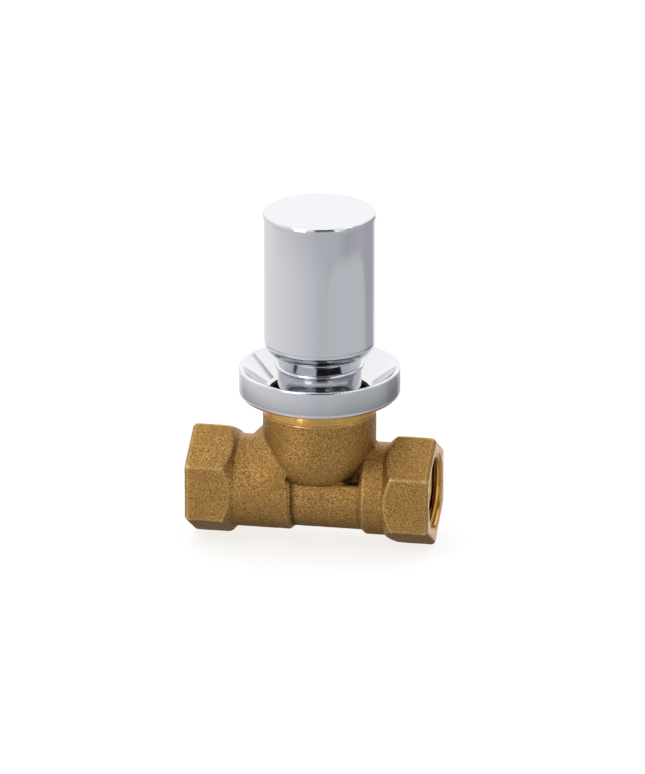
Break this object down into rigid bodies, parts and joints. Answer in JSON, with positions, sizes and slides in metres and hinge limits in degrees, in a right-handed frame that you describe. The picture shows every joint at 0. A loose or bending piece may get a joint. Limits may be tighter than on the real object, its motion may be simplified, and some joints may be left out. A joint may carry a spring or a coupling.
{
  "type": "concealed shut-off valve",
  "caption": "Concealed stop valve: brass body with a threaded hexagon at each end, screw-down headwork, chromed sleeve, wall rosette and cylindrical handle.",
  "frame": {"origin": "where the pipe axis and the spindle axis cross", "axes": "+X along the pipe towards the outlet, +Z along the spindle towards the handle's top"},
  "size_m": [0.0675, 0.044, 0.0944],
  "materials": {
    "forged_brass": "hot forged and blasted, fine grain",
    "turned_brass": "turned",
    "chrome_plate": "polished chrome plate on brass",
    "black_rubber": "moulded rubber",
    "white_acetal": "turned acetal",
    "stainless_steel": "stainless steel"
  },
  "bodies": {
    "valve": {"valve_body": "forged_brass", "headwork_housing": "turned_brass", "housing_gasket": "black_rubber", "extension_sleeve": "chrome_plate"},
    "handle": {"handle_shell": "chrome_plate", "guide_ring": "white_acetal", "handle_adapter": "turned_brass", "lock_washer": "stainless_steel", "adapter_screw": "stainless_steel", "grub_screw": "stainless_steel", "spindle": "turned_brass", "spindle_seal_lower": "black_rubber", "spindle_seal_upper": "black_rubber", "slip_ring": "white_acetal", "retaining_clip": "stainless_steel"},
    "closing_disc": {"disc_carrier": "turned_brass", "carrier_seal": "black_rubber", "seat_washer": "black_rubber", "washer_plate": "turned_brass", "washer_screw": "turned_brass"},
    "rosette": {"rosette": "chrome_plate"}
  },
  "joints": [
    {"name": "handle_turn", "type": "hinge", "parent": "valve", "child": "handle", "pos_m": [0, 0, 0], "axis": [0, 0, 1], "range_deg": [0, 1080]},
    {"name": "disc_lift", "type": "slide", "parent": "valve", "child": "closing_disc", "axis": [0, 0, 1], "range_m": [0, 0.0045]},
    {"name": "rosette_slide", "type": "slide", "parent": "valve", "child": "rosette", "axis": [0, 0, 1], "range_m": [0, 0.009]}
  ],
  "couplings": [
    {"joint": "handle_turn", "follows": "disc_lift", "rad_per_m": 4188.7}
  ]
}
